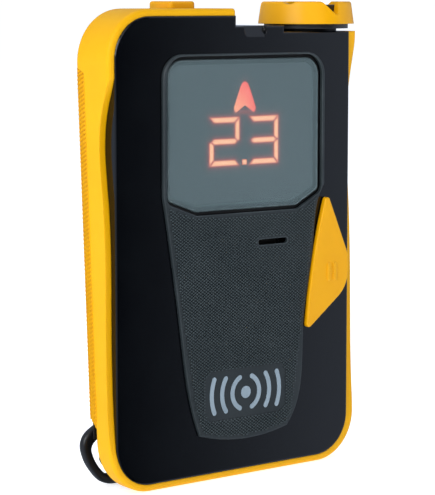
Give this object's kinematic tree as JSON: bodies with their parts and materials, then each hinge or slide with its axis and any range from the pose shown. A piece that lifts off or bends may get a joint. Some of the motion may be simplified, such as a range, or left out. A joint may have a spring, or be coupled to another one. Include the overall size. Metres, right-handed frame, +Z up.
{
  "type": "avalanche transceiver",
  "caption": "Pocket avalanche transceiver: flat black case in a rubber bumper, lit digit display, side search trigger, corner power knob, battery door and leash loop.",
  "frame": {"origin": "centre of the flat back that the case lies on, midway between the case's sides and at half the hard case's height", "axes": "+X to the right as the display is read, +Y out of the back, +Z up towards the power knob"},
  "size_m": [0.0805, 0.0283, 0.1151],
  "materials": {
    "gloss_black": "gloss moulded",
    "satin_black": "fine moulded satin",
    "matte_black": "matte",
    "black_rubber": "matte",
    "yellow_rubber": "smooth moulded rubber",
    "yellow_plastic": "satin moulded",
    "grip_rubber": "fine diamond texture",
    "pale_print": "pad printed",
    "smoked_window": "clear polished",
    "lit_red": "lit",
    "board_green": "solder mask",
    "ferrite": "sintered",
    "copper_wire": "enamelled wire",
    "plated_steel": "nickel plated",
    "dark_steel": "blackened",
    "battery_sleeve": "printed sleeve, plain",
    "white_plastic": "moulded"
  },
  "bodies": {
    "case": {"front_shell": "gloss_black", "rear_shell": "satin_black", "case_gasket": "black_rubber", "bumper": "yellow_rubber", "left_grip_rail": "yellow_rubber", "right_grip_rail": "yellow_rubber", "grip_panel": "grip_rubber", "signal_mark": "pale_print", "window": "smoked_window", "window_seal": "black_rubber", "display_module": "matte_black", "digit_segments": "lit_red", "arrow_light": "lit_red", "circuit_board": "board_green", "board_chips": "matte_black", "speaker": "satin_black", "speaker_cone": "matte_black", "length_aerial_core": "ferrite", "length_aerial_coil": "copper_wire", "cross_aerial_core": "ferrite", "cross_aerial_coil": "copper_wire", "depth_aerial_core": "ferrite", "depth_aerial_coil": "copper_wire", "battery_tray": "satin_black", "contact_plates": "plated_steel", "contact_springs": "plated_steel", "left_battery": "battery_sleeve", "middle_battery": "battery_sleeve", "right_battery": "battery_sleeve", "door_seal": "black_rubber", "door_hinge_pins": "plated_steel", "case_screws": "dark_steel", "leash_loop": "satin_black", "knob_collar": "satin_black", "knob_bushing": "white_plastic", "shaft_seal": "black_rubber", "switch_frame": "white_plastic", "knob_spring": "plated_steel", "trigger_guide": "white_plastic", "option_switch": "plated_steel", "option_bracket": "board_green"},
    "knob_press": {"thrust_cup": "plated_steel"},
    "knob": {"knob_cap": "yellow_plastic", "knob_hub": "satin_black", "knob_shaft": "plated_steel", "knob_screw": "plated_steel", "switch_rotor": "satin_black"},
    "trigger": {"search_trigger": "yellow_plastic", "trigger_carriage": "satin_black", "trigger_magnet": "plated_steel"},
    "option": {"option_button": "yellow_plastic"},
    "door": {"battery_door": "satin_black"},
    "door_fastener": {"door_screw": "plated_steel"}
  },
  "joints": [
    {"name": "power_knob_press", "type": "slide", "parent": "case", "child": "knob_press", "axis": [0, 0, -1], "range_m": [0, 0.0004], "stiffness_N_per_m": 2500, "deforming": ["knob_spring"]},
    {"name": "power_knob_turn", "type": "hinge", "parent": "knob_press", "child": "knob", "pos_m": [0.03, -0.0163, 0.055], "axis": [0, 0, -1], "range_deg": [-90, 0]},
    {"name": "search_trigger_slide", "type": "slide", "parent": "case", "child": "trigger", "axis": [1, 0, 0], "range_m": [0, 0.003]},
    {"name": "option_button_press", "type": "slide", "parent": "case", "child": "option", "axis": [0, 0, -1], "range_m": [0, 0.0008], "stiffness_N_per_m": 1500},
    {"name": "battery_door_hinge", "type": "hinge", "parent": "case", "child": "door", "pos_m": [0, -0.0011, -0.0432], "axis": [-1, 0, 0], "range_deg": [0, 95]},
    {"name": "door_screw_turn", "type": "hinge", "parent": "door", "child": "door_fastener", "pos_m": [0, -0.001, 0.0148], "axis": [0, 1, 0], "continuous": true}
  ]
}
